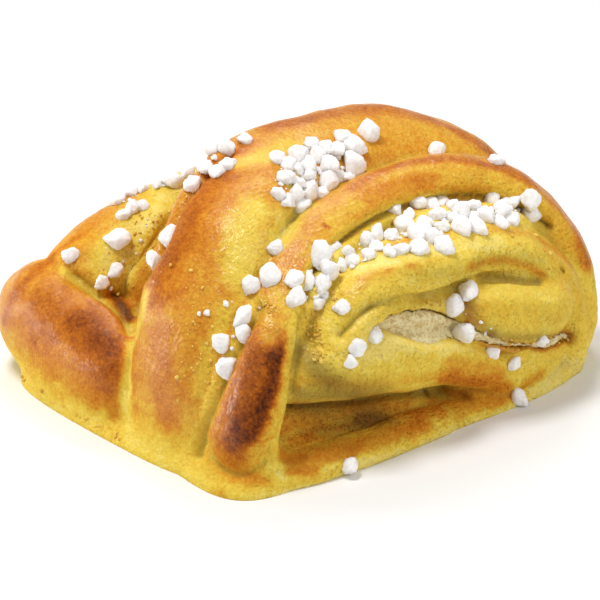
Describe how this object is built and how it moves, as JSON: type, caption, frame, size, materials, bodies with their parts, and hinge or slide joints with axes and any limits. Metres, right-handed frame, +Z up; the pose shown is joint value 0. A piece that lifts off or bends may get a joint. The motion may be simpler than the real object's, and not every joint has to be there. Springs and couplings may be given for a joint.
{
  "type": "saffron bun",
  "caption": "Oblong yellow saffron bun of rolled dough pressed across the middle, with both cut ends fanned open in folded layers, a thin pale filling between them, and pearl sugar on top.",
  "frame": {"origin": "centre of the bounding box's underside, on the surface the bun stands on", "axes": "+Z up; +X from the closed, browned end towards the open end with the filling, along the rolled log the bun was cut from; +Y along the pressed groove, from the front corner towards the back"},
  "size_m": [0.0854, 0.1062, 0.053],
  "materials": {
    "saffron_dough": "baked saffron dough: golden yellow crumb and flanks, orange-brown glossy egg-washed ridges, with white pearl sugar",
    "almond_filling": "pale beige, grainy, slightly moist paste"
  },
  "bodies": {
    "root": {"bun": "saffron_dough", "filling": "almond_filling"}
  },
  "joints": []
}
